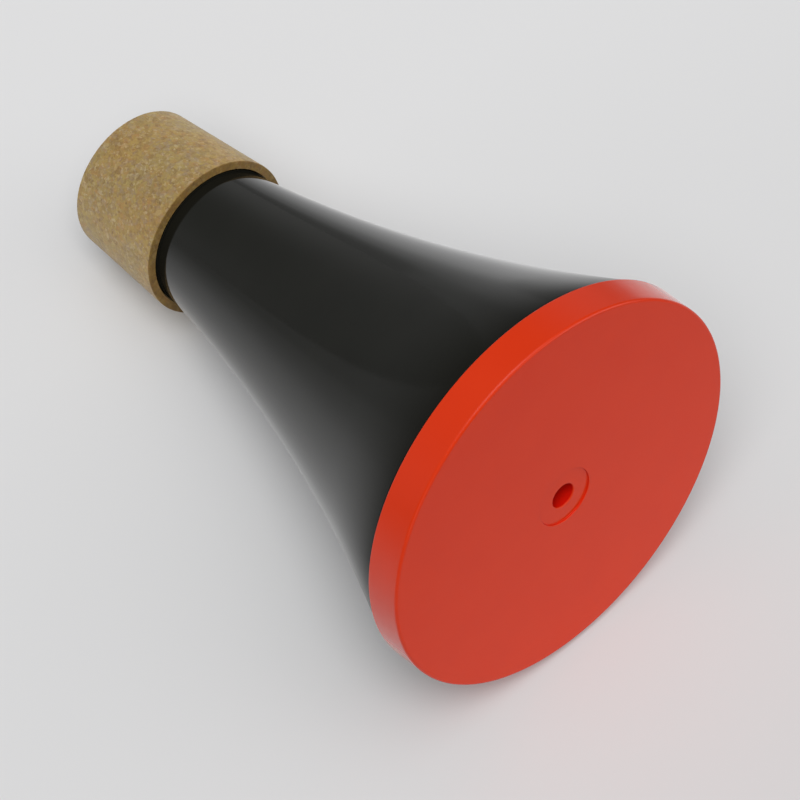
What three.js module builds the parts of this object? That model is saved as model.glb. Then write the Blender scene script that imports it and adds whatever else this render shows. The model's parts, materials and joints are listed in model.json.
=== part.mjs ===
import * as THREE from 'three';

// Practice mute for a trumpet, in millimetres: a flared plastic shell, closed at its wide end by a
// flat cap with one vent, and held in the instrument's bell by a cork sleeve round its neck.
//
// Every piece is turned about the mute's own axis. Heights run along that axis, from the outside of
// the cap's face at 0 to the open end of the neck. At the end the mute is laid on its side.

// Gap left between two pieces that are pressed or glued together
const fitGap = 0.3;

// Cap, outside
const capFaceRadius = 50.2;
const bandWidth = 8.85;
const bandDraft = 0.2;
const capEdgeRound = 0.6;
const ventRadius = 3.2;
const recessRadius = 7.6;
const recessDepth = 0.5;

// Cap, inside
const capWall = 2.4;
const ventLength = 5;
const spigotWall = 1.8;
const spigotLength = 5;
const spigotRound = 0.7;
const socketDepth = 9;
const bossWall = 2;
const bossRound = 0.6;

// Shell
const shellWall = 2;
const rimSetback = 0.45;
const flareLength = 113.65;
const flareArcRadius = 425;
const neckRadius = 18.5;
const neckPastCork = 0.6;
const neckLipRound = 0.8;

// Cork sleeve and its seat, which stands proud of the neck like a low collar
const corkLength = 31.5;
const corkWall = 2.15;
const corkTaper = 1.85;
const corkEdgeRound = 0.35;
const corkSeatRise = 0.25;

// Vent tube and felt disc, inside the chamber
const tubeWall = 1.6;
const tubeLength = 62;
const tubeEndRound = 0.4;
const feltThickness = 5;
const feltRound = 0.8;

// How finely the round shapes are cut
const turnSteps = 64;
const flareSteps = 12;
const cornerSteps = 3;

// Heights and radii where pieces meet
const bandBackRadius = capFaceRadius + bandDraft;
const mouthHeight = bandWidth + fitGap;
const flareEnd = mouthHeight + flareLength;
const corkStart = flareEnd + fitGap;
const corkEnd = corkStart + corkLength;
const neckEnd = corkEnd + neckPastCork;
const seatNearRadius = neckRadius + corkSeatRise;
const seatFarRadius = seatNearRadius - corkTaper;
const corkNearRadius = seatNearRadius + fitGap + corkWall;
const corkFarRadius = corkNearRadius - corkTaper;
const tubeRadius = ventRadius + tubeWall;
const socketRadius = tubeRadius + fitGap;
const bossRadius = socketRadius + bossWall;
const socketHeight = recessDepth + ventLength;
const bossHeight = socketHeight + socketDepth;

const plastics = { metalness: 0, roughness: 0.28 };
const materials = {
  capPlastic: new THREE.MeshStandardMaterial({ ...plastics, color: '#d3401f' }),
  shellPlastic: new THREE.MeshStandardMaterial({ ...plastics, color: '#222221' }),
  tubePlastic: new THREE.MeshStandardMaterial({ ...plastics, color: '#2b2b2a' }),
  cork: new THREE.MeshStandardMaterial({ metalness: 0, roughness: 0.85, color: '#a9875a' }),
  felt: new THREE.MeshStandardMaterial({ metalness: 0, roughness: 1, color: '#3a3a3c' }),
};

// A corner of an outline: its distance from the axis, its height, and how much it is rounded
function corner(radius, height, round = 0) {
  return { place: new THREE.Vector2(radius, height), round };
}

// Points of the arc that rounds a corner, touching the side before it and the side after it
function roundedCorner(before, { place, round }, after) {
  const back = before.clone().sub(place).normalize();
  const ahead = after.clone().sub(place).normalize();
  const halfAngle = back.angleTo(ahead) / 2;
  const toTouch = round / Math.tan(halfAngle);
  const toCentre = back.clone().add(ahead).setLength(round / Math.sin(halfAngle));
  const centre = place.clone().add(toCentre);
  const first = place.clone().addScaledVector(back, toTouch);
  const last = place.clone().addScaledVector(ahead, toTouch);
  const turn = Math.PI - 2 * halfAngle;
  const side = Math.sign(first.clone().sub(centre).cross(last.clone().sub(centre)));
  return Array.from({ length: cornerSteps + 1 }, (_, step) =>
    first.clone().rotateAround(centre, side * turn * (step / cornerSteps)));
}

// The points of a closed outline, from its corners in counterclockwise order
function outline(corners) {
  return corners.flatMap((here, index) => {
    if (here.round === 0) return [here.place];
    const before = corners.at(index - 1).place;
    const after = corners[(index + 1) % corners.length].place;
    return roundedCorner(before, here, after);
  });
}

// A closed outline turned about the mute's axis, with a flat facet on each side of the axis
function turned(name, points, material) {
  const facetTurn = Math.PI / turnSteps;
  const geometry = new THREE.LatheGeometry([...points, points[0]], turnSteps, -facetTurn);
  geometry.rotateX(Math.PI / 2);
  const mesh = new THREE.Mesh(geometry, material);
  mesh.name = name;
  return mesh;
}

// The flare is one arc, from the shell's rim to its neck, whose centre lies outside the shell
const rimPoint = new THREE.Vector2(bandBackRadius - rimSetback, mouthHeight);
const neckPoint = new THREE.Vector2(neckRadius, flareEnd);
const flareCentre = arcCentre(rimPoint, neckPoint, flareArcRadius);

// Centre of an arc through two points, on the right hand of the way from the first to the second
function arcCentre(from, to, radius) {
  const chord = to.clone().sub(from);
  const toCentre = Math.sqrt(radius ** 2 - chord.lengthSq() / 4);
  const aside = new THREE.Vector2(chord.y, -chord.x).setLength(toCentre);
  return from.clone().lerp(to, 1 / 2).add(aside);
}

// Distance from the axis of the surface that lies so deep under the flare's outside, at a height
function flareRadiusAt(height, depth) {
  const rise = height - flareCentre.y;
  return flareCentre.x - Math.sqrt((flareArcRadius + depth) ** 2 - rise ** 2);
}

// Corners along the flare between two heights, at one depth under its outside
function flareCorners(fromHeight, toHeight, depth) {
  return Array.from({ length: flareSteps + 1 }, (_, step) => {
    const height = THREE.MathUtils.lerp(fromHeight, toHeight, step / flareSteps);
    return corner(flareRadiusAt(height, depth), height);
  });
}

// Cap: face, band, the ring that centres it in the shell, and the boss that holds the vent tube
function capOutline() {
  const spigotEnd = bandWidth + spigotLength;
  const outsideDepth = shellWall + fitGap;
  const insideDepth = outsideDepth + spigotWall;
  return outline([
    corner(ventRadius, recessDepth),
    corner(recessRadius, recessDepth),
    corner(recessRadius, 0),
    corner(capFaceRadius, 0, capEdgeRound),
    corner(bandBackRadius, bandWidth),
    corner(flareRadiusAt(bandWidth, outsideDepth), bandWidth),
    corner(flareRadiusAt(spigotEnd, outsideDepth), spigotEnd, spigotRound),
    corner(flareRadiusAt(spigotEnd, insideDepth), spigotEnd),
    corner(flareRadiusAt(bandWidth, insideDepth), bandWidth),
    corner(flareRadiusAt(bandWidth, insideDepth), capWall),
    corner(bossRadius, capWall),
    corner(bossRadius, bossHeight, bossRound),
    corner(socketRadius, bossHeight),
    corner(socketRadius, socketHeight),
    corner(ventRadius, socketHeight),
  ]);
}

// Shell: the flare, the collar that the cork sits on round the neck, and the neck's rounded lip
function shellOutline() {
  const neckSlope = corkTaper / corkLength;
  const lipRadius = seatFarRadius - neckSlope * neckPastCork;
  return outline([
    corner(flareRadiusAt(mouthHeight, shellWall), mouthHeight),
    ...flareCorners(mouthHeight, flareEnd, 0),
    corner(seatNearRadius, flareEnd),
    corner(lipRadius, neckEnd, neckLipRound),
    corner(lipRadius - shellWall, neckEnd, neckLipRound),
    ...flareCorners(flareEnd, mouthHeight, shellWall).slice(0, -1),
  ]);
}

// Cork: a sleeve that tapers like the seat under it
function corkOutline() {
  return outline([
    corner(seatNearRadius + fitGap, corkStart),
    corner(corkNearRadius, corkStart, corkEdgeRound),
    corner(corkFarRadius, corkEnd, corkEdgeRound),
    corner(seatFarRadius + fitGap, corkEnd),
  ]);
}

// Vent tube: pressed into the boss, its bore in line with the vent
function tubeOutline() {
  const start = socketHeight + fitGap;
  const end = start + tubeLength;
  return outline([
    corner(ventRadius, start),
    corner(tubeRadius, start),
    corner(tubeRadius, end, tubeEndRound),
    corner(ventRadius, end, tubeEndRound),
  ]);
}

// Felt disc: lies on the inside of the face, between the boss and the ring
function feltOutline() {
  const start = capWall + fitGap;
  const end = start + feltThickness;
  const outerRadius = flareRadiusAt(bandWidth, shellWall + fitGap + spigotWall) - fitGap;
  const innerRadius = bossRadius + fitGap;
  return outline([
    corner(innerRadius, start),
    corner(outerRadius, start),
    corner(outerRadius, end, feltRound),
    corner(innerRadius, end, feltRound),
  ]);
}

// Slope of the line that touches the wide end and the cork, by which the mute leans on the table
function restingSlope(widePoints, corkPoints) {
  const slopes = widePoints.map((wide) =>
    Math.min(...corkPoints.map((cork) => (wide.x - cork.x) / (cork.y - wide.y))));
  return Math.max(...slopes) * Math.cos(Math.PI / turnSteps);
}

// The mute on its side: its face looks along +X and a little up, its neck points along -X
function laidOnTable(pieces, slope) {
  const mute = new THREE.Group();
  mute.add(...pieces);
  mute.rotation.y = -Math.PI / 2 - Math.atan(slope);
  const table = new THREE.Group();
  table.add(mute);
  const box = new THREE.Box3().setFromObject(table, true);
  const middle = box.getCenter(new THREE.Vector3());
  mute.position.set(-middle.x, -middle.y, -box.min.z);
  return table;
}

const practiceMute = laidOnTable([
  turned('end_cap', capOutline(), materials.capPlastic),
  turned('body_shell', shellOutline(), materials.shellPlastic),
  turned('cork_sleeve', corkOutline(), materials.cork),
  turned('vent_tube', tubeOutline(), materials.tubePlastic),
  turned('felt_disc', feltOutline(), materials.felt),
], restingSlope([...capOutline(), rimPoint], corkOutline()));

export default practiceMute;
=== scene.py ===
"""Finished look of a practice mute for a trumpet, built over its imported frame.

Every piece of the mute is turned about one axis. Each is drawn as an outline beside that axis in the mute's
own frame, where heights run from the outside of the face at 0 to the open end of the neck, spun round the
axis, and laid on the table in the place that the frame gives. Sizes are in metres.
"""

import json
import logging
import math
from dataclasses import dataclass, field
from enum import Enum

import bpy
from mathutils import Matrix, Vector


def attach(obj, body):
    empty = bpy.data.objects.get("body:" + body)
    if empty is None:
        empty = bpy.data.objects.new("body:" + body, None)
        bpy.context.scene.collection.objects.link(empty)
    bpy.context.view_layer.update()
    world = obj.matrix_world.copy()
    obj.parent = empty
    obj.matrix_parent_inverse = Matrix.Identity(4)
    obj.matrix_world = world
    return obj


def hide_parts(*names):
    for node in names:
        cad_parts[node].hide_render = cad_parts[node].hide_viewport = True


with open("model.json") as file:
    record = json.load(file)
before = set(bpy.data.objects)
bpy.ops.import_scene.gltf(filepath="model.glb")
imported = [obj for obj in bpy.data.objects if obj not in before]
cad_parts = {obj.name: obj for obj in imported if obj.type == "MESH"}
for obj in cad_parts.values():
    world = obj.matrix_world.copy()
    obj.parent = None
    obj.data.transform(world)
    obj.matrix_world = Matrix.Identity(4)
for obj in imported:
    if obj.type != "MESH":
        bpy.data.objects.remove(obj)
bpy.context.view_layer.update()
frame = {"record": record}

MM = 0.001
LOG = logging.getLogger("practice_mute")

Number = "Signal | float"
Colour = tuple[float, float, float]


# Outlines

@dataclass(frozen=True)
class Corner:
    """A corner of an outline.

    Args:
        radius: Distance from the mute's axis.
        height: Distance from the outside of the face.
        round: Radius of the arc that rounds the corner, or 0 where it is sharp.
        rows: How many rows of faces the straight side before the corner gets.
    """

    radius: float
    height: float
    round: float = 0.0
    rows: int = 1

    def place(self) -> Vector:
        """Place of the corner beside the axis, as radius and height."""
        return Vector((self.radius, self.height))


@dataclass(frozen=True)
class Sweep:
    """An arc of an outline, from the place reached so far to a new one.

    Args:
        radius: Distance from the mute's axis of the arc's far end.
        height: Distance from the outside of the face of the arc's far end.
        centre: Centre of the arc, as radius and height.
        rows: How many rows of faces the arc gets.
    """

    radius: float
    height: float
    centre: Vector
    rows: int

    round = 0.0

    def place(self) -> Vector:
        """Place of the arc's far end beside the axis, as radius and height."""
        return Vector((self.radius, self.height))


class Pen:
    """Draws an outline with the edit tools, in the upright plane through the mute's axis."""

    # Distance from a straight side's end to the point that keeps the side flat, and the largest share of
    # a side that it may be
    HOLD = 0.2 * MM
    LARGEST_HOLD_SHARE = 0.2
    ROUND_STEPS = 6

    def __init__(self, name: str, start: Vector) -> None:
        """Puts down the first point of an outline.

        Args:
            name: Name of the piece that the outline is for.
            start: Place of the point, as radius and height.
        """
        bpy.ops.object.select_all(action="DESELECT")
        bpy.ops.mesh.primitive_plane_add(size=MM, location=(start.x, 0, start.y))
        self.piece = bpy.context.object
        self.piece.name = self.piece.data.name = name
        bpy.ops.object.transform_apply(location=True, rotation=False, scale=False)
        bpy.ops.object.mode_set(mode="EDIT")
        bpy.ops.mesh.merge(type="CENTER")
        self.here = start

    def step(self, to: Vector) -> None:
        """Draws one straight edge.

        Args:
            to: Place where it ends.
        """
        way = to - self.here
        bpy.ops.mesh.extrude_vertices_move(TRANSFORM_OT_translate={"value": (way.x, 0, way.y)})
        self.here = to

    def line(self, to: Vector, rows: int) -> None:
        """Draws a straight side, with a point close to each end so that its flat stays flat when shaded.

        Args:
            to: Place where the side ends.
            rows: How many rows of faces it gets between those two points.
        """
        start, way = self.here.copy(), to - self.here
        hold = self.HOLD / way.length
        if hold < self.LARGEST_HOLD_SHARE:
            for row in range(rows + 1):
                self.step(start + way * (hold + (1 - 2 * hold) * row / rows))
        self.step(to)

    def arc(self, to: Vector, centre: Vector, rows: int) -> None:
        """Draws an arc with the spin tool.

        Args:
            to: Place where the arc ends.
            centre: Centre of the arc.
            rows: How many edges it has.
        """
        out, back = self.here - centre, to - centre
        turn = math.atan2(out.x * back.y - out.y * back.x, out.dot(back))
        bpy.ops.mesh.spin(steps=rows, angle=turn, center=(centre.x, 0, centre.y), axis=(0, 1, 0))
        self.here = to

    def rounded(self, before: Vector, corner: Corner, after: Vector) -> None:
        """Draws the side up to a corner and the arc that rounds the corner.

        Args:
            before: Place of the corner before it.
            corner: The corner.
            after: Place of the corner after it.
        """
        place = corner.place()
        back, ahead = (before - place).normalized(), (after - place).normalized()
        half = back.angle(ahead) / 2
        touch = corner.round / math.tan(half)
        centre = place + (back + ahead).normalized() * (corner.round / math.sin(half))
        self.line(place + back * touch, corner.rows)
        self.arc(place + ahead * touch, centre, self.ROUND_STEPS)

    def trace(self, outline: list[Corner | Sweep]) -> bpy.types.Object:
        """Draws a closed outline that starts at the pen's first point.

        Args:
            outline: The corners and arcs after the first point, and at last that point again.

        Returns:
            The piece, still in edit mode.
        """
        for index, here in enumerate(outline):
            if isinstance(here, Sweep):
                self.arc(here.place(), here.centre, here.rows)
            elif here.round:
                before = outline[index - 1].place()
                self.rounded(before, here, outline[index + 1].place())
            else:
                self.line(here.place(), here.rows)
        return self.piece


# The mute's shared sizes

@dataclass(frozen=True)
class Lie:
    """How the mute lies on the table.

    Args:
        face: Middle of the face's outside.
        away: Way from the face to the neck, along the axis.
        flats: How many flats the frame's turned solids have. The finished pieces stay inside those flats.
    """

    face: Vector
    away: Vector
    flats: int = 64

    @classmethod
    def from_record(cls, record: dict) -> "Lie":
        """Reads the lie from the face's mount.

        Args:
            record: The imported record.

        Returns:
            The lie of the mute.
        """
        mount = next(m for m in record["mounts"] if m["name"] == "cap_face")
        spot, axis = Vector(mount["pos_m"]), Vector(mount["axis"])
        return cls(Vector((spot.x, 0, spot.z)), -axis.normalized())

    def turn(self) -> Matrix:
        """Turn that takes the mute's own frame to the table's, as a 3 by 3 matrix."""
        across = Vector((0, 1, 0))
        return Matrix((across.cross(self.away), across, self.away)).transposed()

    def laid(self) -> Matrix:
        """Move that lays a piece drawn in the mute's own frame on the table."""
        inside_flats = math.cos(math.pi / self.flats)
        narrowed = Matrix.Diagonal((inside_flats, inside_flats, 1, 1))
        return Matrix.Translation(self.face) @ self.turn().to_4x4() @ narrowed


@dataclass(frozen=True)
class Flare:
    """The one long arc of the shell, from its rim to its neck.

    Args:
        rim: Where the arc starts at the rim, as radius and height.
        neck: Where it ends at the neck.
        radius: Radius of the arc, whose centre lies outside the shell.
    """

    rim: Vector
    neck: Vector
    radius: float

    def centre(self) -> Vector:
        """Centre of the arc, as radius and height."""
        chord = self.neck - self.rim
        out = math.sqrt(self.radius ** 2 - chord.length_squared / 4)
        return (self.rim + self.neck) / 2 + Vector((chord.y, -chord.x)).normalized() * out

    def radius_at(self, height: float, depth: float = 0.0) -> float:
        """Distance from the axis of the surface so deep under the flare's outside.

        Args:
            height: Distance from the outside of the face.
            depth: How deep under the outside.

        Returns:
            The distance.
        """
        centre = self.centre()
        return centre.x - math.sqrt((self.radius + depth) ** 2 - (height - centre.y) ** 2)

    def sweep(self, height: float, depth: float, rows: int) -> Sweep:
        """Arc along the flare to a height, at one depth under its outside.

        Args:
            height: Height where the arc ends.
            depth: How deep under the outside it runs.
            rows: How many rows of faces it gets.

        Returns:
            The arc.
        """
        return Sweep(self.radius_at(height, depth), height, self.centre(), rows)


@dataclass(frozen=True)
class Sizes:
    """Sizes that more than one piece of the mute needs."""

    fit_gap: float = 0.3 * MM
    band_width: float = 8.85 * MM
    band_back_radius: float = 50.4 * MM
    cap_wall: float = 2.4 * MM
    vent_radius: float = 3.2 * MM
    recess_depth: float = 0.5 * MM
    vent_length: float = 5 * MM
    boss_radius: float = 7.1 * MM
    ring_wall: float = 1.8 * MM
    shell_wall: float = 2 * MM
    rim_setback: float = 0.45 * MM
    flare_length: float = 113.65 * MM
    flare_arc: float = 425 * MM
    neck_radius: float = 18.5 * MM
    cork_length: float = 31.5 * MM
    cork_taper: float = 1.85 * MM
    seat_rise: float = 0.25 * MM

    @property
    def mouth_height(self) -> float:
        """Height of the shell's open mouth, behind the cap's band."""
        return self.band_width + self.fit_gap

    @property
    def flare(self) -> Flare:
        """The shell's arc."""
        end = self.mouth_height + self.flare_length
        return Flare(Vector((self.band_back_radius - self.rim_setback, self.mouth_height)),
                     Vector((self.neck_radius, end)), self.flare_arc)

    @property
    def seat_radius(self) -> float:
        """Radius of the collar that the cork sits on, at the end nearest the cap."""
        return self.neck_radius + self.seat_rise

    @property
    def cork_start(self) -> float:
        """Height of the cork's end that is nearest the cap."""
        return self.flare.neck.y + self.fit_gap

    @property
    def socket_height(self) -> float:
        """Height of the step in the boss where the vent tube ends."""
        return self.recess_depth + self.vent_length

    @property
    def ring_inside(self) -> float:
        """Radius of the inside of the ring that centres the cap."""
        return self.flare.radius_at(self.band_width, self.shell_wall + self.fit_gap + self.ring_wall)


# Shader graphs

class Maths(Enum):
    """Operations of the Math node that the finishes use."""

    ADD = "ADD"
    SUBTRACT = "SUBTRACT"
    MULTIPLY = "MULTIPLY"
    POWER = "POWER"
    SMALLER_OF = "MINIMUM"
    LARGER_OF = "MAXIMUM"


class Cells(Enum):
    """What a cell pattern gives at each place."""

    NEAREST = "F1"
    WALLS = "DISTANCE_TO_EDGE"


class Blend(Enum):
    """How two colours are put together."""

    MIX = "MIX"
    MULTIPLY = "MULTIPLY"


class Signal:
    """A value that changes over a surface. Arithmetic on it adds Math nodes to its graph."""

    def __init__(self, graph: "Graph", socket: bpy.types.NodeSocket) -> None:
        """Wraps a socket.

        Args:
            graph: The graph that the socket's node is in.
            socket: An output socket.
        """
        self.graph = graph
        self.socket = socket

    def __add__(self, other: Number) -> "Signal":
        """Sum with another value."""
        return self.graph.maths(Maths.ADD, self, other)

    def __radd__(self, other: Number) -> "Signal":
        """Sum of a number and this value."""
        return self.graph.maths(Maths.ADD, other, self)

    def __sub__(self, other: Number) -> "Signal":
        """This value less another."""
        return self.graph.maths(Maths.SUBTRACT, self, other)

    def __rsub__(self, other: Number) -> "Signal":
        """A number less this value."""
        return self.graph.maths(Maths.SUBTRACT, other, self)

    def __mul__(self, other: Number) -> "Signal":
        """Product with another value."""
        return self.graph.maths(Maths.MULTIPLY, self, other)

    def __rmul__(self, other: Number) -> "Signal":
        """Product of a number and this value."""
        return self.graph.maths(Maths.MULTIPLY, other, self)

    def __pow__(self, other: Number) -> "Signal":
        """This value raised to a power."""
        return self.graph.maths(Maths.POWER, self, other)

    def kept_within(self, low: float, high: float) -> "Signal":
        """This value, kept between two bounds.

        Args:
            low: Lower bound.
            high: Upper bound.

        Returns:
            The bounded value.
        """
        return self.graph.maths(Maths.LARGER_OF, self.graph.maths(Maths.SMALLER_OF, self, high), low)

    def rising(self, start: float, end: float) -> "Signal":
        """0 below one value of this one, 1 above another, and a straight rise between.

        Args:
            start: Where the rise starts.
            end: Where it ends. It may be less than start, and then the result falls.

        Returns:
            The rise.
        """
        return ((self - start) * (1 / (end - start))).kept_within(0, 1)


class Graph:
    """The node graph of one material or world."""

    def __init__(self, owner: bpy.types.Material | bpy.types.World) -> None:
        """Empties the graph of a material or world.

        Args:
            owner: What the graph belongs to.
        """
        owner.use_nodes = True
        self.tree = owner.node_tree
        self.tree.nodes.clear()

    def node(self, kind: str, settings: dict | None = None, inputs: dict | None = None) -> bpy.types.Node:
        """Adds a node.

        Args:
            kind: The node's type.
            settings: Properties of the node, which are set first. The stops of a ramp go under "stops".
            inputs: Values or links of its sockets, by name or number.

        Returns:
            The node.
        """
        made = self.tree.nodes.new(kind)
        for name, value in (settings or {}).items():
            if name == "stops":
                self._set_stops(made.color_ramp, value)
            else:
                setattr(made, name, value.value if isinstance(value, Enum) else value)
        for name, value in (inputs or {}).items():
            if isinstance(value, Signal):
                self.tree.links.new(value.socket, made.inputs[name])
            elif isinstance(value, tuple) and made.inputs[name].type == "RGBA":
                made.inputs[name].default_value = (*value, 1)
            else:
                made.inputs[name].default_value = value
        return made

    @staticmethod
    def _set_stops(ramp: bpy.types.ColorRamp, stops: list[tuple[float, Colour]]) -> None:
        """Sets the stops of a ramp.

        Args:
            ramp: The ramp.
            stops: Position and colour of each.
        """
        while len(ramp.elements) < len(stops):
            ramp.elements.new(1)
        for element, (position, colour) in zip(ramp.elements, stops):
            element.position = position
            element.color = (*colour, 1)

    def out(self, node: bpy.types.Node, name: str | int = 0) -> Signal:
        """An output of a node, as a signal."""
        return Signal(self, node.outputs[name])

    def maths(self, operation: Maths, one: Number, other: Number) -> Signal:
        """Result of an operation on two numbers, of which either may be a signal."""
        return self.out(self.node("ShaderNodeMath", {"operation": operation}, {0: one, 1: other}))

    def own_place(self, lie: Lie) -> Signal:
        """Place of a surface point in the mute's own frame, with the axis along Z and the face at 0.

        Args:
            lie: How the mute lies.

        Returns:
            The place, in metres.
        """
        coordinates = self.out(self.node("ShaderNodeTexCoord"), "Object")
        return self.out(self.node("ShaderNodeMapping", {"vector_type": "TEXTURE"}, {
            "Vector": coordinates, "Location": lie.face, "Rotation": lie.turn().to_euler()}))

    def stretched(self, place: Signal, by: Colour) -> Signal:
        """Place with its three parts multiplied, to draw a pattern out along one of them."""
        return self.out(self.node("ShaderNodeVectorMath", {"operation": "MULTIPLY"}, {0: place, 1: by}))

    def part(self, place: Signal, axis: str) -> Signal:
        """One part of a place or colour, by its letter."""
        return self.out(self.node("ShaderNodeSeparateXYZ", None, {0: place}), axis)

    def from_axis(self, place: Signal) -> Signal:
        """Distance of a place from the mute's axis."""
        x, y = self.part(place, "X"), self.part(place, "Y")
        return (x * x + y * y) ** 0.5

    def noise(self, place: Signal, grain: float, detail: float = 2, rough: float = 0.5) -> Signal:
        """Soft noise.

        Args:
            place: Where it is read.
            grain: Size of its largest patches.
            detail: How many finer layers it has.
            rough: How strong the finer layers are.

        Returns:
            Values around 0.5.
        """
        return self.out(self.node("ShaderNodeTexNoise", None, {
            "Vector": place, "Scale": 1 / grain, "Detail": detail, "Roughness": rough}), "Fac")

    def disturbed(self, place: Signal, grain: float, reach: float) -> Signal:
        """Place pushed about by noise, so that what is drawn at it gets uneven edges.

        Args:
            place: The even place.
            grain: Size of the noise.
            reach: How far the place is pushed at most.

        Returns:
            The uneven place.
        """
        noise = self.out(self.node("ShaderNodeTexNoise", None, {
            "Vector": place, "Scale": 1 / grain, "Detail": 2}), "Color")
        centred = self.out(self.node("ShaderNodeVectorMath", {"operation": "SUBTRACT"},
                                     {0: noise, 1: (0.5, 0.5, 0.5)}))
        push = self.stretched(centred, (2 * reach, 2 * reach, 2 * reach))
        return self.out(self.node("ShaderNodeVectorMath", {"operation": "ADD"}, {0: place, 1: push}))

    def cells(self, place: Signal, size: float, give: Cells) -> bpy.types.Node:
        """Cell pattern node, whose outputs are Distance, in cells, and each cell's own random Color.

        Args:
            place: Where the pattern is read.
            size: Size of a cell.
            give: Whether Distance is to the cell's middle or to its wall.

        Returns:
            The node.
        """
        return self.node("ShaderNodeTexVoronoi", {"feature": give}, {"Vector": place, "Scale": 1 / size})

    def ramp(self, value: Signal, stops: list[tuple[float, Colour]], steps: bool = False) -> Signal:
        """Colour that a value stands for.

        Args:
            value: The value.
            stops: Position and colour of each stop.
            steps: Whether the colour jumps at each stop instead of changing evenly.

        Returns:
            The colour.
        """
        ramp = self.node("ShaderNodeValToRGB", {"stops": stops}, {"Fac": value})
        ramp.color_ramp.interpolation = "CONSTANT" if steps else "LINEAR"
        return self.out(ramp, "Color")

    def mix(self, share: Number, one: "Signal | Colour", other: "Signal | Colour",
            blend: Blend = Blend.MIX) -> Signal:
        """Two colours put together.

        Args:
            share: How much of the second there is, from 0 to 1.
            one: First colour.
            other: Second colour.
            blend: How they are put together.

        Returns:
            The colour.
        """
        settings = {"data_type": "RGBA", "blend_type": blend}
        return self.out(self.node("ShaderNodeMix", settings, {0: share, 6: one, 7: other}), 2)

    def bump(self, height: Signal, depth: float, over: Signal | None = None) -> Signal:
        """Normal of a surface with fine relief.

        Args:
            height: The relief, from 0 to 1.
            depth: How high 1 is.
            over: Normal that this relief lies on, if any.

        Returns:
            The normal.
        """
        inputs = {"Strength": 1.0, "Distance": depth, "Height": height}
        if over is not None:
            inputs["Normal"] = over
        return self.out(self.node("ShaderNodeBump", None, inputs), "Normal")

    def surface(self, inputs: dict, share: Signal | None = None, other: dict | None = None) -> None:
        """Ends the graph in a principled surface, or in a mix of two.

        Args:
            inputs: Values or links of the first surface's sockets.
            share: How much of the second surface there is, from 0 to 1.
            other: Values or links of the second surface's sockets.
        """
        shader = self.node("ShaderNodeBsdfPrincipled", None, inputs)
        if share is not None:
            second = self.node("ShaderNodeBsdfPrincipled", None, other)
            shader = self.node("ShaderNodeMixShader", None, {
                0: share, 1: self.out(shader), 2: self.out(second)})
        self.node("ShaderNodeOutputMaterial", None, {"Surface": self.out(shader)})


# Finishes

@dataclass(frozen=True)
class MouldedPlastic:
    """Moulded plastic: nearly even colour, the mould's fine grain, and a skin that waves very slightly.

    Args:
        name: Name of the material.
        slot: The record's slot for it.
        colour: Main colour.
        shade: Colour of the patches where the pigment lies thicker.
        gloss: Roughness of the skin.
        scuffs: How much rougher the handled patches are.
        grain: Size of the mould's grain.
        grain_depth: Depth of the grain.
        wave: Size of the skin's waves.
        wave_depth: Height of the waves.
        drawn: How far the pattern is drawn out along the axis.
        specular: How strongly the skin mirrors, where 0.5 is usual for plastic.
        deep: Colour of the painted shade, a dull colour that takes the skin's place.
        patch: Size of the patches of thicker pigment.
        rub: Size of the handled patches.
        rub_warp: Size of the noise that makes their edges uneven.
        rub_shift: How far that noise pushes their edges.
    """

    name: str
    slot: str
    colour: Colour
    shade: Colour
    gloss: float
    scuffs: float
    grain: float
    grain_depth: float
    wave: float
    wave_depth: float
    drawn: float = 1.0
    specular: float = 0.5
    deep: Colour = (0.0, 0.0, 0.0)
    patch: float = 14 * MM
    rub: float = 6 * MM
    rub_warp: float = 9 * MM
    rub_shift: float = 3 * MM

    def painted_shade(self, graph: Graph, place: Signal, sizes: Sizes) -> Signal | None:
        """How much painted shade, a dull deep colour in the skin's place, lies at each place, or None where
        there is none.
        """
        return None

    def material(self, lie: Lie, sizes: Sizes) -> bpy.types.Material:
        """Builds the material.

        Args:
            lie: How the mute lies.
            sizes: The mute's sizes.

        Returns:
            The material.
        """
        made = bpy.data.materials.new(self.name)
        graph = Graph(made)
        own = graph.own_place(lie)
        place = graph.stretched(own, (1, 1, 1 / self.drawn))
        patches = graph.noise(place, self.patch, 3).rising(0.35, 0.65)
        handled = graph.disturbed(place, self.rub_warp, self.rub_shift)
        rubbed = graph.noise(handled, self.rub, 4, 0.6).rising(0.45, 0.75)
        waves = graph.bump(graph.noise(place, self.wave, 1), self.wave_depth)
        grain = graph.bump(graph.noise(place, self.grain, 3, 0.6), self.grain_depth, waves)
        # Where painted shade is given, a matt surface of the deep colour takes the skin's place.
        graph.surface({
            "Base Color": graph.mix(patches, self.colour, self.shade),
            "Roughness": self.gloss + self.scuffs * rubbed,
            "Specular IOR Level": self.specular,
            "Normal": grain,
        }, self.painted_shade(graph, own, sizes), {
            "Base Color": self.deep, "Roughness": 1.0, "Specular IOR Level": 0.0})
        return made


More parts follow.
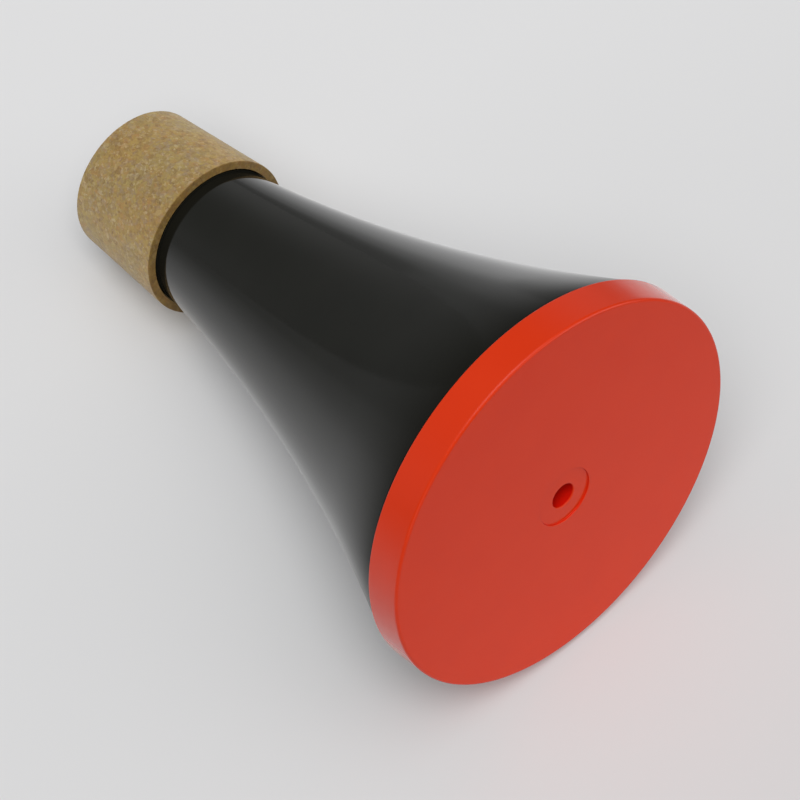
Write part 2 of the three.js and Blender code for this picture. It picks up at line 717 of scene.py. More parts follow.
@dataclass(frozen=True)
class CapPlastic(MouldedPlastic):
    """The cap's plastic, with painted shade on the walls of the vent and the recess, to match the photo.

    Args:
        vent_reach: Distance from the axis within which the vent's wall lies.
        vent_lip: Depth under the recess's floor where the painted shade begins.
        vent_blur: Distance over which it sets in there.
        vent_shade: How much painted shade the vent's wall has.
        wall_radius: Distance from the axis where the recess's wall begins.
        wall_width: Width, from there, of the strip in which the wall lies.
        wall_lip: Depth under the face where the painted shade begins.
        wall_blur: Distance over which it sets in there.
        wall_shade: How much painted shade the recess's wall has.
    """

    vent_reach: float = 4.0 * MM
    vent_lip: float = 0.1 * MM
    vent_blur: float = 0.3 * MM
    vent_shade: float = 0.9
    wall_radius: float = 7.50 * MM
    wall_width: float = 0.4 * MM
    wall_lip: float = 0.06 * MM
    wall_blur: float = 0.1 * MM
    wall_shade: float = 0.55

    def painted_shade(self, graph: Graph, place: Signal, sizes: Sizes) -> Signal:
        """Painted shade on the walls of the vent and of the recess round it.

        Args:
            graph: Graph of the material.
            place: Place in the mute's own frame.
            sizes: The mute's sizes.

        Returns:
            How much painted shade there is.
        """
        radius, height = graph.from_axis(place), graph.part(place, "Z")
        vent_start = sizes.recess_depth + self.vent_lip
        # Painted shade on the vent's wall and on the recess's wall.
        shade_in_vent = (radius.rising(self.vent_reach, self.vent_reach - self.vent_blur)
                   * height.rising(vent_start, vent_start + self.vent_blur))
        wall_end = self.wall_radius + self.wall_width
        shade_on_wall = (radius.rising(self.wall_radius - self.wall_blur / 2, self.wall_radius)
                   * radius.rising(wall_end + self.wall_blur, wall_end)
                   * height.rising(self.wall_lip, self.wall_lip + self.wall_blur))
        return (shade_in_vent * self.vent_shade + shade_on_wall * self.wall_shade).kept_within(0, 1)


@dataclass(frozen=True)
class ShellPlastic(MouldedPlastic):
    """The shell's plastic, with painted shade in place of what it mirrors in a soft zone beside the cap and
    on the cork's collar.

    Both are painted in to match the photo, and their cause isn't known. The zone is eased in two strips that
    lie on the outline as the photo's camera sees it, so the finish isn't even round the axis.

    Args:
        zone: How far from the cap the zone of painted shade ends.
        zone_bend: How quickly the zone fades, where 1 is evenly.
        most: How much painted shade there is beside the cap.
        far_lean: How far the zone's strip away from the camera leans, as a share of the height.
        far_start: Distance to that side where the strip begins.
        far_end: Distance to that side where it is full.
        far_share: How much less painted shade the zone has in the strip.
        near_way: Direction to the strip on the camera's side, in degrees round the axis.
        near_start: Distance that way where that strip begins.
        near_end: Distance that way where it is full.
        near_share: How much less painted shade the zone has in it.
        collar: How much painted shade lies on the collar and the ring beside it.
        ring: How wide that ring is.
        ring_blur: Half the distance over which it sets in.
    """

    zone: float = 24 * MM
    zone_bend: float = 1.6
    most: float = 0.75
    far_lean: float = 0.52
    far_start: float = 22 * MM
    far_end: float = 30 * MM
    far_share: float = 0.35
    near_way: float = 244.5
    near_start: float = 36 * MM
    near_end: float = 46 * MM
    near_share: float = 0.4
    collar: float = 0.85
    ring: float = 3.1 * MM
    ring_blur: float = 0.2 * MM

    def painted_shade(self, graph: Graph, place: Signal, sizes: Sizes) -> Signal:
        """Painted shade in the zone beside the cap, which is lighter along the outline of both sides, and on
        the collar.

        Args:
            graph: Graph of the material.
            place: Place in the mute's own frame.
            sizes: The mute's sizes.

        Returns:
            How much painted shade there is.
        """
        across, side, height = (graph.part(place, axis) for axis in "XYZ")
        # Painted shade: a matt zone beside the cap, eased in two strips, and a matt ring on the collar.
        shade_by_cap = height.rising(sizes.mouth_height + self.zone, sizes.mouth_height) ** self.zone_bend
        far_side = (side + height * self.far_lean).rising(self.far_start, self.far_end)
        turn = math.radians(self.near_way)
        towards = across * math.cos(turn) + side * math.sin(turn)
        near_side = towards.rising(self.near_start, self.near_end)
        zone = shade_by_cap * self.most * (1 - far_side * self.far_share - near_side * self.near_share)
        ring_start = sizes.flare.neck.y - self.ring
        collar = height.rising(ring_start - self.ring_blur, ring_start + self.ring_blur) * self.collar
        return (zone + collar).kept_within(0, 1)


@dataclass(frozen=True)
class AgglomeratedCork:
    """Cork granules of many tones, pressed and glued, turned to shape and sanded.

    Args:
        name: Name of the material.
        slot: The record's slot for it.
        granule: Size of the larger granules.
        crumb: Size of the crumbs between them.
        squash: How far the granules are pressed flat along the axis.
        warp: Size of the noise that makes their shapes uneven.
        warp_shift: How far it pushes them.
        ragged: Size of the finer noise along their edges.
        ragged_shift: How far that one pushes them.
        average: Colour that the granules' tones lie around.
        tones: The tones, each with the random value from which it is used.
        average_share: How much of the average is mixed into them.
        fleck: Colour of the palest chips.
        fleck_share: How pale a chip is.
        cloud: Size of the soft warm and cool patches.
        warm: Colour that tints the warm patches.
        cool: Colour that tints the cool ones.
        pore: Size of the pores.
        pore_tint: Colour that tints them.
        end_stain_and_shade: Colour that darkens the cut end nearest the cap, partly its stain and partly
            painted shade.
        end_full: Distance from the cut end within which the stain and painted shade are full.
        end_reach: Distance from the cut end where it stops.
        granule_relief: Depth of the seams between the granules.
        fine_relief: Depth of the crumbs and pores.
    """

    name: str = "agglomerated_cork"
    slot: str = "cork"
    granule: float = 1.15 * MM
    crumb: float = 0.55 * MM
    squash: float = 0.85
    warp: float = 1.1 * MM
    warp_shift: float = 0.5 * MM
    ragged: float = 0.3 * MM
    ragged_shift: float = 0.2 * MM
    average: Colour = (0.335, 0.235, 0.098)
    tones: tuple[tuple[float, Colour], ...] = (
        (0.00, (0.215, 0.135, 0.055)),
        (0.08, (0.270, 0.180, 0.068)),
        (0.25, (0.345, 0.250, 0.095)),
        (0.42, (0.370, 0.265, 0.088)),
        (0.58, (0.320, 0.235, 0.150)),
        (0.72, (0.410, 0.305, 0.100)),
        (0.85, (0.385, 0.225, 0.080)),
        (0.94, (0.470, 0.365, 0.200)),
    )
    average_share: float = 0.25
    fleck: Colour = (0.52, 0.42, 0.26)
    fleck_share: float = 0.4
    cloud: float = 8 * MM
    warm: Colour = (1.06, 0.92, 0.76)
    cool: Colour = (0.94, 0.96, 1.02)
    pore: float = 0.35 * MM
    pore_tint: Colour = (0.55, 0.47, 0.38)
    end_stain_and_shade: Colour = (0.58, 0.50, 0.30)
    end_full: float = 0.15 * MM
    end_reach: float = 0.45 * MM
    granule_relief: float = 0.02 * MM
    fine_relief: float = 0.03 * MM

    def material(self, lie: Lie, sizes: Sizes) -> bpy.types.Material:
        """Builds the material.

        Args:
            lie: How the mute lies.
            sizes: The mute's sizes.

        Returns:
            The material.
        """
        made = bpy.data.materials.new(self.name)
        graph = Graph(made)
        place = graph.own_place(lie)
        pressed = graph.stretched(place, (1, 1, self.squash))
        rough_place = graph.disturbed(pressed, self.warp, self.warp_shift)
        uneven = graph.disturbed(rough_place, self.ragged, self.ragged_shift)
        granules = graph.cells(uneven, self.granule, Cells.NEAREST)
        crumbs = graph.cells(uneven, self.crumb, Cells.NEAREST)
        walls = graph.out(graph.cells(uneven, self.granule, Cells.WALLS), "Distance")
        stops = list(self.tones)
        granule_tone = graph.ramp(graph.part(graph.out(granules, "Color"), "X"), stops, steps=True)
        crumb_tone = graph.ramp(graph.part(graph.out(crumbs, "Color"), "Y"), stops, steps=True)
        colour = graph.mix(self.average_share, graph.mix(0.5, granule_tone, crumb_tone), self.average)
        chips = graph.part(graph.out(crumbs, "Color"), "X").rising(0.93, 0.94)
        colour = graph.mix(chips * self.fleck_share, colour, self.fleck)
        cloud = graph.noise(place, self.cloud, 3, 0.6)
        colour = graph.mix(cloud.rising(0.42, 0.68) * 0.6, colour, self.warm, Blend.MULTIPLY)
        colour = graph.mix(cloud.rising(0.52, 0.30) * 0.5, colour, self.cool, Blend.MULTIPLY)
        pores = graph.noise(graph.stretched(place, (1, 1, 0.45)), self.pore, 2, 0.7)
        pore = pores.rising(0.34, 0.22)
        colour = graph.mix(pore * 0.35, colour, self.pore_tint, Blend.MULTIPLY)
        height = graph.part(place, "Z")
        # The cut end nearest the cap is darkened, partly by its stain and partly by painted shade.
        end = height.rising(sizes.cork_start + self.end_reach, sizes.cork_start + self.end_full)
        colour = graph.mix(end, colour, self.end_stain_and_shade, Blend.MULTIPLY)
        crumb_relief = graph.out(crumbs, "Distance").rising(0.75, 0.1)
        relief = crumb_relief * 0.5 + pores.rising(0.25, 0.5) * 0.5
        seams = graph.bump(walls.rising(0.0, 0.14), self.granule_relief)
        graph.surface({
            "Base Color": colour,
            "Roughness": 0.62 + 0.2 * pore,
            "Normal": graph.bump(relief, self.fine_relief, seams),
            "IOR": 1.4,
            "Diffuse Roughness": 1.0,
            "Sheen Weight": 0.12,
            "Sheen Roughness": 0.5,
        })
        return made


@dataclass(frozen=True)
class PressedFelt:
    """Pressed wool felt: short fibres in all directions, darker and lighter, over a soft matt body.

    Args:
        name: Name of the material.
        slot: The record's slot for it.
        dark: Colour of the felt's body.
        light: Colour of its palest fibres.
        swirl: Size of the swirls that the fibres lie in.
        swirl_shift: How far the swirls turn them aside.
        fibre: Width of a fibre.
        fibre_share: Width of a fibre as a share of its length.
        mottle: Size of the darker and lighter patches.
        relief: Height of the fibres.
    """

    name: str = "pressed_felt"
    slot: str = "felt"
    dark: Colour = (0.030, 0.030, 0.032)
    light: Colour = (0.085, 0.085, 0.090)
    swirl: float = 2.5 * MM
    swirl_shift: float = 1.6 * MM
    fibre: float = 0.3 * MM
    fibre_share: float = 0.12
    mottle: float = 5 * MM
    relief: float = 0.15 * MM

    def material(self, lie: Lie, sizes: Sizes) -> bpy.types.Material:
        """Builds the material.

        Args:
            lie: How the mute lies.
            sizes: The mute's sizes, which felt makes no use of.

        Returns:
            The material.
        """
        made = bpy.data.materials.new(self.name)
        graph = Graph(made)
        place = graph.own_place(lie)
        swirled = graph.disturbed(place, self.swirl, self.swirl_shift)
        one_way = graph.noise(graph.stretched(swirled, (1, self.fibre_share, 1)), self.fibre, 2)
        other_way = graph.noise(graph.stretched(swirled, (self.fibre_share, 1, 1)), self.fibre, 2)
        fibres = (one_way * one_way + other_way * other_way).rising(0.35, 0.75)
        mottle = graph.noise(place, self.mottle, 3)
        colour = graph.mix(fibres * 0.7 + mottle * 0.3, self.dark, self.light)
        graph.surface({
            "Base Color": colour,
            "Roughness": 1.0,
            "Normal": graph.bump(fibres, self.relief),
            "Sheen Weight": 0.25,
            "Sheen Roughness": 0.6,
        })
        return made


# The cap's deep colour is painted shade on the walls of the vent and the recess.
CAP_PLASTIC = CapPlastic(
    name="orange_red_plastic", slot="cap_plastic",
    colour=(0.735, 0.0380, 0.0040), shade=(0.722, 0.0360, 0.0040), specular=0.42,
    deep=(0.62, 0.0045, 0.0025),
    gloss=0.12, scuffs=0.03, grain=0.22 * MM, grain_depth=0.0012 * MM, wave=11 * MM, wave_depth=0.004 * MM)

# The shell's deep colour is painted shade: a matt black without the skin's mirroring.
SHELL_PLASTIC = ShellPlastic(
    name="black_plastic", slot="shell_plastic",
    colour=(0.0103, 0.0106, 0.0078), shade=(0.0088, 0.0091, 0.0067), deep=(0.0105, 0.0100, 0.0075),
    gloss=0.07, scuffs=0.02, grain=0.30 * MM, grain_depth=0.0008 * MM, wave=16 * MM, wave_depth=0.010 * MM)

TUBE_PLASTIC = MouldedPlastic(
    name="black_tube_plastic", slot="tube_plastic",
    colour=(0.016, 0.016, 0.016), shade=(0.021, 0.021, 0.021),
    gloss=0.36, scuffs=0.08, grain=0.25 * MM, grain_depth=0.006 * MM, wave=3 * MM, wave_depth=0.01 * MM,
    drawn=30)

CORK = AgglomeratedCork()
FELT = PressedFelt()

Finish = MouldedPlastic | AgglomeratedCork | PressedFelt


# Pieces

@dataclass(frozen=True)
class Unevenness:
    """A pattern that a surface is lowered by.

    Args:
        kind: Kind of texture that draws it.
        layers: How many finer layers it has, or 0 where the kind has a fixed number.
    """

    kind: str
    layers: int


class Pattern(Enum):
    """Patterns that the pieces use."""

    PITS = Unevenness("STUCCI", 0)
    SWELLS = Unevenness("CLOUDS", 2)
    NAP = Unevenness("CLOUDS", 3)


@dataclass
class TurnedPiece:
    """A piece that is turned about the mute's axis.

    Args:
        lie: How the mute lies.
        sizes: Sizes shared among the pieces.
        name: Name of the finished piece.
        node: The frame's solid that it stands for.
        finish: What it is made of.
        steps: How many steps go round the axis.
    """

    # Distance within which points are joined, and angle in degrees up to which a corner is shaded smooth
    WELD = 0.002 * MM
    SMOOTH_UP_TO = 31

    lie: Lie
    sizes: Sizes
    name: str = ""
    node: str = ""
    finish: Finish = CAP_PLASTIC
    steps: int = 256

    def outline(self) -> list[Corner | Sweep]:
        """The piece's outline, counterclockwise, whose last corner is where it starts."""
        raise NotImplementedError

    def slot(self) -> str:
        """The record's slot that the piece's finish comes from."""
        return self.finish.slot

    def shape(self) -> bpy.types.Object:
        """Draws the outline and spins it round the axis.

        Returns:
            The piece, standing on its face in the mute's own frame.
        """
        outline = self.outline()
        piece = Pen(self.name, outline[-1].place()).trace(outline)
        bpy.ops.mesh.select_all(action="SELECT")
        bpy.ops.mesh.remove_doubles(threshold=self.WELD)
        bpy.ops.mesh.select_all(action="SELECT")
        bpy.ops.mesh.spin(steps=self.steps, angle=2 * math.pi, center=(0, 0, 0), axis=(0, 0, 1),
                          use_auto_merge=True)
        bpy.ops.mesh.select_all(action="SELECT")
        bpy.ops.mesh.remove_doubles(threshold=self.WELD)
        bpy.ops.mesh.normals_make_consistent(inside=False)
        bpy.ops.mesh.select_all(action="DESELECT")
        bpy.ops.object.mode_set(mode="OBJECT")
        return piece

    def detail(self, piece: bpy.types.Object) -> None:
        """Adds what is not turned, while the piece still stands in the mute's own frame.

        Args:
            piece: The turned piece.
        """

    @staticmethod
    def sink(piece: bpy.types.Object, pattern: Pattern, size: float, depth: float) -> None:
        """Lowers a piece's surface by a pattern, with a modifier that is applied.

        Args:
            piece: The piece.
            pattern: The pattern.
            size: Size of its patches.
            depth: How deep it goes at most.
        """
        texture = bpy.data.textures.new(pattern.name, pattern.value.kind)
        texture.noise_scale = size
        if pattern.value.layers:
            texture.noise_depth = pattern.value.layers
        lower = piece.modifiers.new(pattern.name, "DISPLACE")
        lower.texture = texture
        lower.texture_coords = "LOCAL"
        lower.strength = depth
        lower.mid_level = 1.0
        bpy.context.view_layer.objects.active = piece
        bpy.ops.object.modifier_apply(modifier=lower.name)

    def build(self) -> bpy.types.Object:
        """Makes the piece, lays it on the table, dresses it and puts it on the frame.

        Returns:
            The finished piece.
        """
        piece = self.shape()
        self.detail(piece)
        bpy.ops.object.select_all(action="DESELECT")
        bpy.context.view_layer.objects.active = piece
        piece.select_set(True)
        piece.matrix_world = self.lie.laid()
        bpy.ops.object.transform_apply(location=True, rotation=True, scale=True)
        bpy.ops.object.shade_smooth_by_angle(angle=math.radians(self.SMOOTH_UP_TO))
        piece.select_set(False)
        piece.data.materials.append(self.finish.material(self.lie, self.sizes))
        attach(piece, "root")
        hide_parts(self.node)
        self.slot()
        return piece


@dataclass
class EndCap(TurnedPiece):
    """The orange-red cap: a flat face with a recessed vent, a band, a centring ring and a boss."""

    name: str = "cap"
    node: str = "end_cap"
    finish: Finish = CAP_PLASTIC
    face_radius: float = 50.2 * MM
    edge_round: float = 0.68 * MM
    recess_radius: float = 7.6 * MM
    recess_floor_round: float = 0.14 * MM
    recess_lip_round: float = 0.12 * MM
    vent_lip_round: float = 0.25 * MM
    band_back_round: float = 0.25 * MM
    ring_length: float = 5 * MM
    ring_round: float = 0.7 * MM
    root_round: float = 0.5 * MM
    socket_depth: float = 9 * MM
    boss_wall: float = 2 * MM
    boss_round: float = 0.6 * MM

    def outline(self) -> list[Corner | Sweep]:
        """The cap's outline, from the step in the boss round by the vent, face, band and ring."""
        s = self.sizes
        ring_end = s.band_width + self.ring_length
        outside = s.shell_wall + s.fit_gap
        inside = outside + s.ring_wall
        boss_height = s.socket_height + self.socket_depth
        socket_radius = s.boss_radius - self.boss_wall
        return [
            Corner(s.vent_radius, s.recess_depth, self.vent_lip_round),
            Corner(self.recess_radius, s.recess_depth, self.recess_floor_round),
            Corner(self.recess_radius, 0, self.recess_lip_round),
            Corner(self.face_radius, 0, self.edge_round, rows=8),
            Corner(s.band_back_radius, s.band_width, self.band_back_round, rows=2),
            Corner(s.flare.radius_at(s.band_width, outside), s.band_width),
            Corner(s.flare.radius_at(ring_end, outside), ring_end, self.ring_round),
            Corner(s.flare.radius_at(ring_end, inside), ring_end, self.ring_round / 2),
            Corner(s.ring_inside, s.band_width),
            Corner(s.ring_inside, s.cap_wall, self.root_round),
            Corner(s.boss_radius, s.cap_wall, self.root_round, rows=8),
            Corner(s.boss_radius, boss_height, self.boss_round),
            Corner(socket_radius, boss_height, self.boss_round / 2),
            Corner(socket_radius, s.socket_height),
            Corner(s.vent_radius, s.socket_height),
        ]


@dataclass
class BodyShell(TurnedPiece):
    """The black shell: a flare of one long arc, a low collar for the cork, and a rounded lip."""

    name: str = "shell"
    node: str = "body_shell"
    finish: Finish = SHELL_PLASTIC
    mouth_round: float = 0.12 * MM
    rim_run: float = 0.3 * MM
    past_cork: float = 0.6 * MM
    lip_round: float = 0.8 * MM
    arc_rows: int = 72

    def outline(self) -> list[Corner | Sweep]:
        """The shell's outline, from the inside of its mouth round by the flare and the neck."""
        s = self.sizes
        flare = s.flare
        neck_end = s.cork_start + s.cork_length + self.past_cork
        lip = s.seat_radius - s.cork_taper * (1 + self.past_cork / s.cork_length)
        past_rim = s.mouth_height + self.rim_run
        return [
            Corner(flare.rim.x, flare.rim.y, self.mouth_round),
            Corner(flare.radius_at(past_rim), past_rim),
            flare.sweep(flare.neck.y, 0, self.arc_rows),
            Corner(s.seat_radius, flare.neck.y),
            Corner(lip, neck_end, self.lip_round, rows=12),
            Corner(lip - s.shell_wall, neck_end, self.lip_round),
            Corner(flare.radius_at(flare.neck.y, s.shell_wall), flare.neck.y, rows=12),
            flare.sweep(s.mouth_height, s.shell_wall, self.arc_rows),
        ]


@dataclass
class CorkSleeve(TurnedPiece):
    """The cork round the neck, tapered to the open end, with the small pits that sanding leaves."""

    name: str = "cork"
    node: str = "cork_sleeve"
    finish: Finish = CORK
    steps: int = 380
    wall: float = 2.15 * MM
    edge_round: float = 0.32 * MM
    pit: float = 0.55 * MM
    pit_depth: float = 0.05 * MM
    sway_length: float = 7 * MM
    sway: float = 0.05 * MM

    def outline(self) -> list[Corner | Sweep]:
        """The cork's outline, from its bore's near end round by its outside."""
        s = self.sizes
        bore = s.seat_radius + s.fit_gap
        near = bore + self.wall
        far = near - s.cork_taper
        end = s.cork_start + s.cork_length
        return [
            Corner(near, s.cork_start, self.edge_round, rows=5),
            Corner(far, end, self.edge_round, rows=92),
            Corner(bore - s.cork_taper, end, rows=5),
            Corner(bore, s.cork_start, rows=24),
        ]

    def detail(self, piece: bpy.types.Object) -> None:
        """Sinks pits and a slight unevenness into the cork, never outwards.

        Args:
            piece: The turned sleeve.
        """
        self.sink(piece, Pattern.PITS, self.pit, self.pit_depth)
        self.sink(piece, Pattern.SWELLS, self.sway_length, self.sway)


@dataclass
class VentTube(TurnedPiece):
    """The tube behind the vent, pressed into the cap's boss."""

    name: str = "tube"
    node: str = "vent_tube"
    finish: Finish = TUBE_PLASTIC
    steps: int = 96
    wall: float = 1.6 * MM
    length: float = 62 * MM
    end_round: float = 0.4 * MM
    lead_in: float = 0.25 * MM

    def outline(self) -> list[Corner | Sweep]:
        """The tube's outline, from the start of its bore round by its outside."""
        s = self.sizes
        start = s.socket_height + s.fit_gap
        outside = s.vent_radius + self.wall
        return [
            Corner(outside, start, self.lead_in),
            Corner(outside, start + self.length, self.end_round, rows=6),
            Corner(s.vent_radius, start + self.length, self.end_round),
            Corner(s.vent_radius, start, rows=6),
        ]


@dataclass
class FeltDisc(TurnedPiece):
    """The felt on the inside of the face, between the boss and the ring."""

    name: str = "felt"
    node: str = "felt_disc"
    finish: Finish = FELT
    thickness: float = 5 * MM
    edge_round: float = 0.8 * MM
    tuft: float = 2.2 * MM
    nap: float = 0.3 * MM

    def outline(self) -> list[Corner | Sweep]:
        """The felt's outline, from its hole's edge on the face round by its outside."""
        s = self.sizes
        start = s.cap_wall + s.fit_gap
        end = start + self.thickness
        outer, inner = s.ring_inside - s.fit_gap, s.boss_radius + s.fit_gap
        return [
            Corner(outer, start, rows=12),
            Corner(outer, end, self.edge_round, rows=5),
            Corner(inner, end, self.edge_round, rows=48),
            Corner(inner, start, rows=5),
        ]

    def detail(self, piece: bpy.types.Object) -> None:
        """Makes the felt's surface uneven, never outwards.

        Args:
            piece: The turned disc.
        """
        self.sink(piece, Pattern.NAP, self.tuft, self.nap)


# Stage

def heading(azimuth: float, elevation: float) -> Vector:
    """Direction from the mute, by its angle in degrees from +X towards +Y and its height in degrees."""
    turn, rise = math.radians(azimuth), math.radians(elevation)
    return Vector((math.cos(rise) * math.cos(turn), math.cos(rise) * math.sin(turn), math.sin(rise)))


@dataclass(frozen=True)
class Glow:
    """A broad soft patch of light in the room.

    Args:
        azimuth: Direction to its middle, in degrees from +X towards +Y.
        elevation: How high its middle is, in degrees.
        brightness: How bright its middle is, where a white surface that sees nothing else is 1.
    """

    azimuth: float
    elevation: float
    brightness: float


@dataclass(frozen=True)
class Room:
    """The soft light all round, and the large lamp over the camera.

    Args:
        glows: Patches of light.
        narrowness: How narrow each patch is. At 10 it is half as bright 21 degrees from its middle.
        seen: Brightness of the room as the camera sees it.
        lamp_azimuth: Direction to the lamp, in degrees from +X towards +Y.
        lamp_elevation: How high the lamp is, in degrees.
        lamp_spread: How wide the lamp looks from the mute, in degrees.
        lamp_strength: Its light on a surface that faces it, in watts per square metre.
    """

    glows: tuple[Glow, ...] = (
        Glow(0, 90, 1.68), Glow(45, 10, 1.5), Glow(315, 10, 0.5), Glow(135, 10, 0.38),
        Glow(180, 10, 0.17), Glow(225, 10, 0.32), Glow(25, 60, 0.30), Glow(240, 60, 0.18),
    )
    narrowness: float = 10
    seen: float = 0.72
    lamp_azimuth: float = 309
    lamp_elevation: float = 64
    lamp_spread: float = 40
    lamp_strength: float = 1.65

    def light(self) -> bpy.types.World:
        """Builds the world that gives the soft light.

        Only the camera sees it as even: what the glossy pieces mirror is its patches of light.

        Returns:
            The world.
        """
        world = bpy.data.worlds.new("room")
        graph = Graph(world)
        way = graph.out(graph.node("ShaderNodeTexCoord"), "Generated")
        bright = 0.0
        for glow in self.glows:
            middle = heading(glow.azimuth, glow.elevation)
            near = graph.out(graph.node("ShaderNodeVectorMath", {"operation": "DOT_PRODUCT"},
                                        {0: way, 1: middle}), "Value")
            glare = graph.maths(Maths.POWER, math.exp(self.narrowness), near - 1)
            bright = glare * glow.brightness + bright
        camera = graph.out(graph.node("ShaderNodeLightPath"), "Is Camera Ray")
        shown = bright * (1 - camera) + camera * self.seen
        background = graph.node("ShaderNodeBackground", None, {"Color": (1, 1, 1), "Strength": shown})
        graph.node("ShaderNodeOutputWorld", None, {"Surface": graph.out(background)})
        return world

    def lamp(self) -> bpy.types.Object:
        """Hangs the large lamp, whose own image the glossy surfaces don't mirror.

        Returns:
            The lamp.
        """
        light = bpy.data.lights.new("large_soft_lamp", "SUN")
        light.energy = self.lamp_strength
        light.angle = math.radians(self.lamp_spread)
        lamp = bpy.data.objects.new("large_soft_lamp", light)
        way = heading(self.lamp_azimuth, self.lamp_elevation)
        lamp.location = way
        lamp.rotation_euler = way.to_track_quat("Z", "Y").to_euler()
        lamp.visible_glossy = False
        bpy.context.scene.collection.objects.link(lamp)
        return lamp


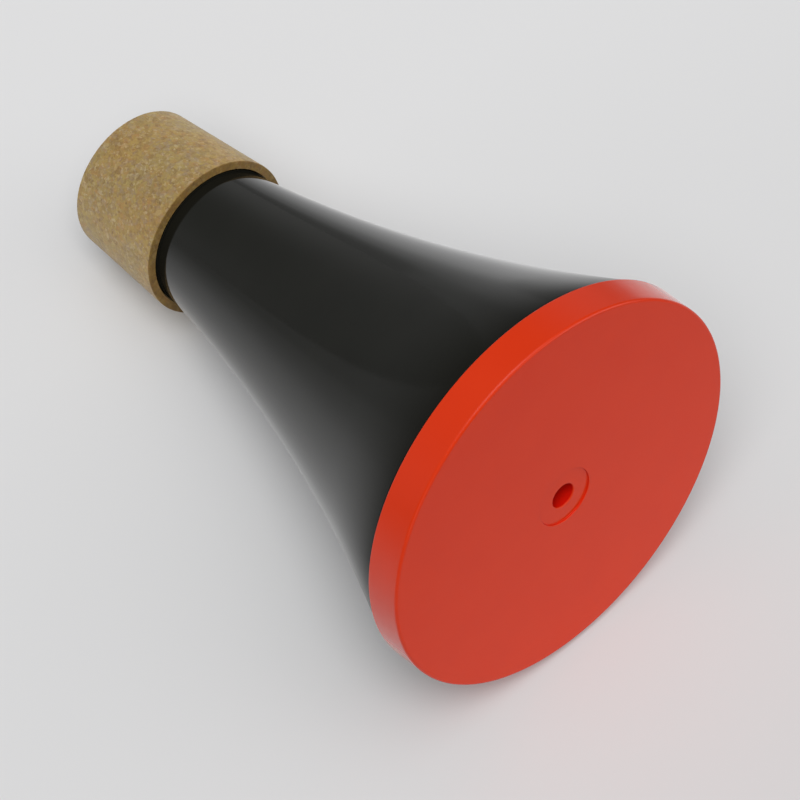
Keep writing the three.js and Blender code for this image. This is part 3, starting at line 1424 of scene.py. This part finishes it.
@dataclass(frozen=True)
class PaleSheet:
    """The pale sheet that the mute lies on. To the camera it is nearly even, with painted light behind the
    neck and painted shade in front of the face.

    To every other ray its colour is painted light and shade: it fades with the distance from the mute,
    brightens and then steps darker behind the neck, and to glossy rays it is darker in front. All of that is
    fitted to what the shell mirrors in the photo, where none of it is seen on the sheet itself, so it suits
    that view and no other.

    Args:
        colour: Colour of the sheet.
        mottle: Size of its faint darker patches.
        mottle_share: How bright they are, as a share of its colour.
        reach: Half the length of the floor's sides.
        middle: Where the fading starts, as x and y.
        drawn: How far the fading is drawn out along y.
        shares: Distances from there, and how bright the sheet is at each, as a share of its colour.
        front_edge: Middle of the change, as x, beyond which glossy rays find the sheet darker, in painted
            shade.
        front_blur: Half the width of that change.
        front: How bright the sheet is to them there, as a share of the rest.
        step_way: Direction across the painted step behind the neck, in degrees from +X towards +Y.
        step_edge: Distance from the middle of the mute to the step.
        highlight_run: How far before the step the painted highlight starts.
        step_blur: Half the width of the step.
        step_start: Where the step begins to show, as x.
        step_full: Where it shows in full, as x.
        highlight_before_step: How much brighter the painted highlight makes the sheet just before the step.
        shade_past_step: How bright the sheet is past the step, as a share of that, in painted shade.
        level_start: Where the painted light leaves the sheet palest, as x.
        level_end: Where the painted shade leaves it darkest, as x.
        lift: How much paler it is at the first of them.
        drop: How much darker it is at the second.
    """

    colour: Colour = (0.735, 0.735, 0.740)
    mottle: float = 60 * MM
    mottle_share: float = 0.99
    reach: float = 6.0
    middle: tuple[float, float] = (20 * MM, 90 * MM)
    drawn: float = 1.5
    shares: tuple[tuple[float, float], ...] = (
        (0.060, 1.20), (0.090, 1.10), (0.115, 1.06), (0.145, 0.96), (0.165, 0.90),
        (0.190, 0.81), (0.220, 0.70), (0.265, 0.60), (0.300, 0.56), (0.350, 0.51),
        (0.420, 0.48), (0.520, 0.44), (0.570, 0.40), (0.800, 0.37),
    )
    front_edge: float = 70 * MM
    front_blur: float = 15 * MM
    front: float = 0.56
    step_way: float = 61.7
    step_edge: float = 80 * MM
    highlight_run: float = 50 * MM
    step_blur: float = 0.5 * MM
    step_start: float = -50 * MM
    step_full: float = -140 * MM
    highlight_before_step: float = 0.20
    shade_past_step: float = 0.72
    level_start: float = -60 * MM
    level_end: float = 140 * MM
    lift: float = 0.035
    drop: float = 0.08

    def painted_light(self, graph: Graph, place: Signal) -> Signal:
        """Painted light and shade: how bright the sheet is at each place to every ray but the camera's, as a
        share of its colour.

        Args:
            graph: Graph of the sheet's material.
            place: Place on the sheet.

        Returns:
            The share.
        """
        x, y = graph.part(place, "X"), graph.part(place, "Y")
        along, across = x - self.middle[0], (y - self.middle[1]) * (1 / self.drawn)
        away = (along * along + across * across) ** 0.5
        # Painted light and shade, fading with the distance from the mute.
        fade = graph.ramp(away, [(at, (share, share, share)) for at, share in self.shares])
        # Painted shade in front of the face, which only glossy rays find.
        in_front = x.rising(self.front_edge - self.front_blur, self.front_edge + self.front_blur)
        # A painted highlight before a step behind the neck, and painted shade past it.
        turn = math.radians(self.step_way)
        across_step = x * math.cos(turn) + y * math.sin(turn)
        shows = x.rising(self.step_start, self.step_full)
        before = across_step.rising(self.step_edge - self.highlight_run, self.step_edge) * shows
        past = across_step.rising(self.step_edge - self.step_blur, self.step_edge + self.step_blur) * shows
        painted_step = (1 + before * self.highlight_before_step) * (1 - past * (1 - self.shade_past_step))
        glossy = graph.out(graph.node("ShaderNodeLightPath"), "Is Glossy Ray")
        return fade * painted_step * (1 - glossy * in_front * (1 - self.front))

    def lay(self) -> bpy.types.Object:
        """Lays the floor.

        Returns:
            The floor.
        """
        bpy.ops.object.select_all(action="DESELECT")
        bpy.ops.mesh.primitive_plane_add(size=2 * self.reach)
        floor = bpy.context.object
        floor.name = "floor"
        made = bpy.data.materials.new("pale_sheet")
        graph = Graph(made)
        place = graph.out(graph.node("ShaderNodeTexCoord"), "Object")
        unseen = 1 - graph.out(graph.node("ShaderNodeLightPath"), "Is Camera Ray")
        mottle = graph.noise(place, self.mottle, 2)
        sheet = graph.mix(mottle, self.colour, tuple(part * self.mottle_share for part in self.colour))
        # Painted light and shade on the whole sheet: paler behind the neck, darker in front of the face.
        falling = graph.part(place, "X").rising(self.level_start, self.level_end)
        level = 1 + self.lift - (self.lift + self.drop) * falling
        sheet = graph.mix(1.0, sheet, level, Blend.MULTIPLY)
        graph.surface({"Base Color": graph.mix(unseen, sheet, self.painted_light(graph, place), Blend.MULTIPLY),
                       "Roughness": 0.75, "Specular IOR Level": 0.1})
        floor.data.materials.append(made)
        return floor


@dataclass
class Studio:
    """The pale sheet, the soft light and the camera.

    Args:
        lie: How the mute lies.
        sheet: The sheet under the mute.
        room: The light.
        eye: Place of the camera, from the middle of the face.
        gaze: Way that the camera looks.
        up: Way that is up in its picture.
        lens: Focal length in millimetres, for a sensor of the width below.
        sensor: Width of the sensor in millimetres.
        nearest: Distance from which the camera sees.
    """

    lie: Lie
    sheet: PaleSheet = PaleSheet()
    room: Room = Room()
    eye: Vector = field(default_factory=lambda: Vector((0.21211, -0.24544, 0.5592)))
    gaze: Vector = field(default_factory=lambda: Vector((-0.38825, 0.35809, -0.84914)))
    up: Vector = field(default_factory=lambda: Vector((-0.62289, 0.5771, 0.52817)))
    lens: float = 130.5
    sensor: float = 36
    nearest: float = 10 * MM

    def camera(self) -> bpy.types.Object:
        """Puts the camera where the photograph was taken from.

        Returns:
            The camera.
        """
        data = bpy.data.cameras.new("camera")
        data.lens = self.lens
        data.sensor_width = self.sensor
        data.clip_start = self.nearest
        camera = bpy.data.objects.new("camera", data)
        right = self.gaze.cross(self.up).normalized()
        back = -self.gaze.normalized()
        turn = Matrix((right, back.cross(right), back)).transposed()
        camera.matrix_world = Matrix.Translation(self.lie.face + self.eye) @ turn.to_4x4()
        bpy.context.scene.collection.objects.link(camera)
        bpy.context.scene.camera = camera
        return camera

    def build(self) -> None:
        """Sets up the whole stage."""
        self.sheet.lay()
        bpy.context.scene.world = self.room.light()
        self.room.lamp()
        self.camera()
        bpy.context.scene.view_settings.view_transform = "Standard"


# The whole mute


def main() -> None:
    """Builds the stage and every piece of the mute, in order."""
    logging.basicConfig(level=logging.INFO, format="%(name)s: %(message)s")
    lie, sizes = Lie.from_record(frame["record"]), Sizes()
    Studio(lie).build()
    LOG.info("stage set")
    for kind in (EndCap, BodyShell, CorkSleeve, VentTube, FeltDisc):
        piece = kind(lie, sizes).build()
        LOG.info("%s: %d faces", piece.name, len(piece.data.polygons))


if __name__ == "__main__":
    main()
